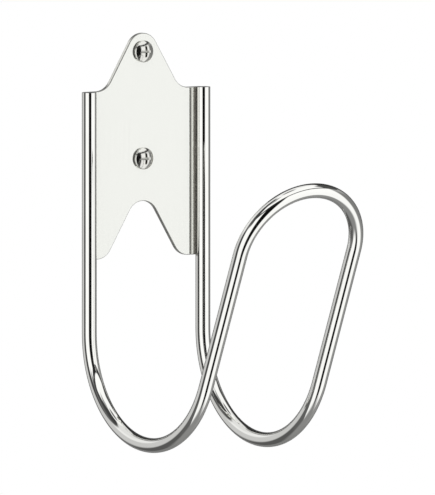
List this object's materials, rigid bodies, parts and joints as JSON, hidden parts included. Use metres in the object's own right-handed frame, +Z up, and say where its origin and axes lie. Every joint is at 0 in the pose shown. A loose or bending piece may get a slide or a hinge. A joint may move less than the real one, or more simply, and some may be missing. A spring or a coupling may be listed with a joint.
{
  "type": "hose hanger",
  "caption": "Wall-mounted hose hanger: a bent round steel bar forms an open cradle with a leaning front loop, welded to a flat plate that is screwed to the wall.",
  "frame": {"origin": "on the wall plane, which is the plate's back, midway between the two screws", "axes": "+Z up the wall, +X to the right along the wall as seen from the front, +Y into the wall; the cradle stands out to -Y"},
  "size_m": [0.083, 0.18, 0.2223],
  "materials": {
    "plate_steel": "bright polished stainless steel sheet",
    "bar_steel": "mirror-polished stainless steel bar",
    "screw_steel": "bright stainless steel screw"
  },
  "bodies": {
    "root": {"wall_plate": "plate_steel", "hanger_bar": "bar_steel", "wall_screws": "screw_steel"}
  },
  "joints": []
}
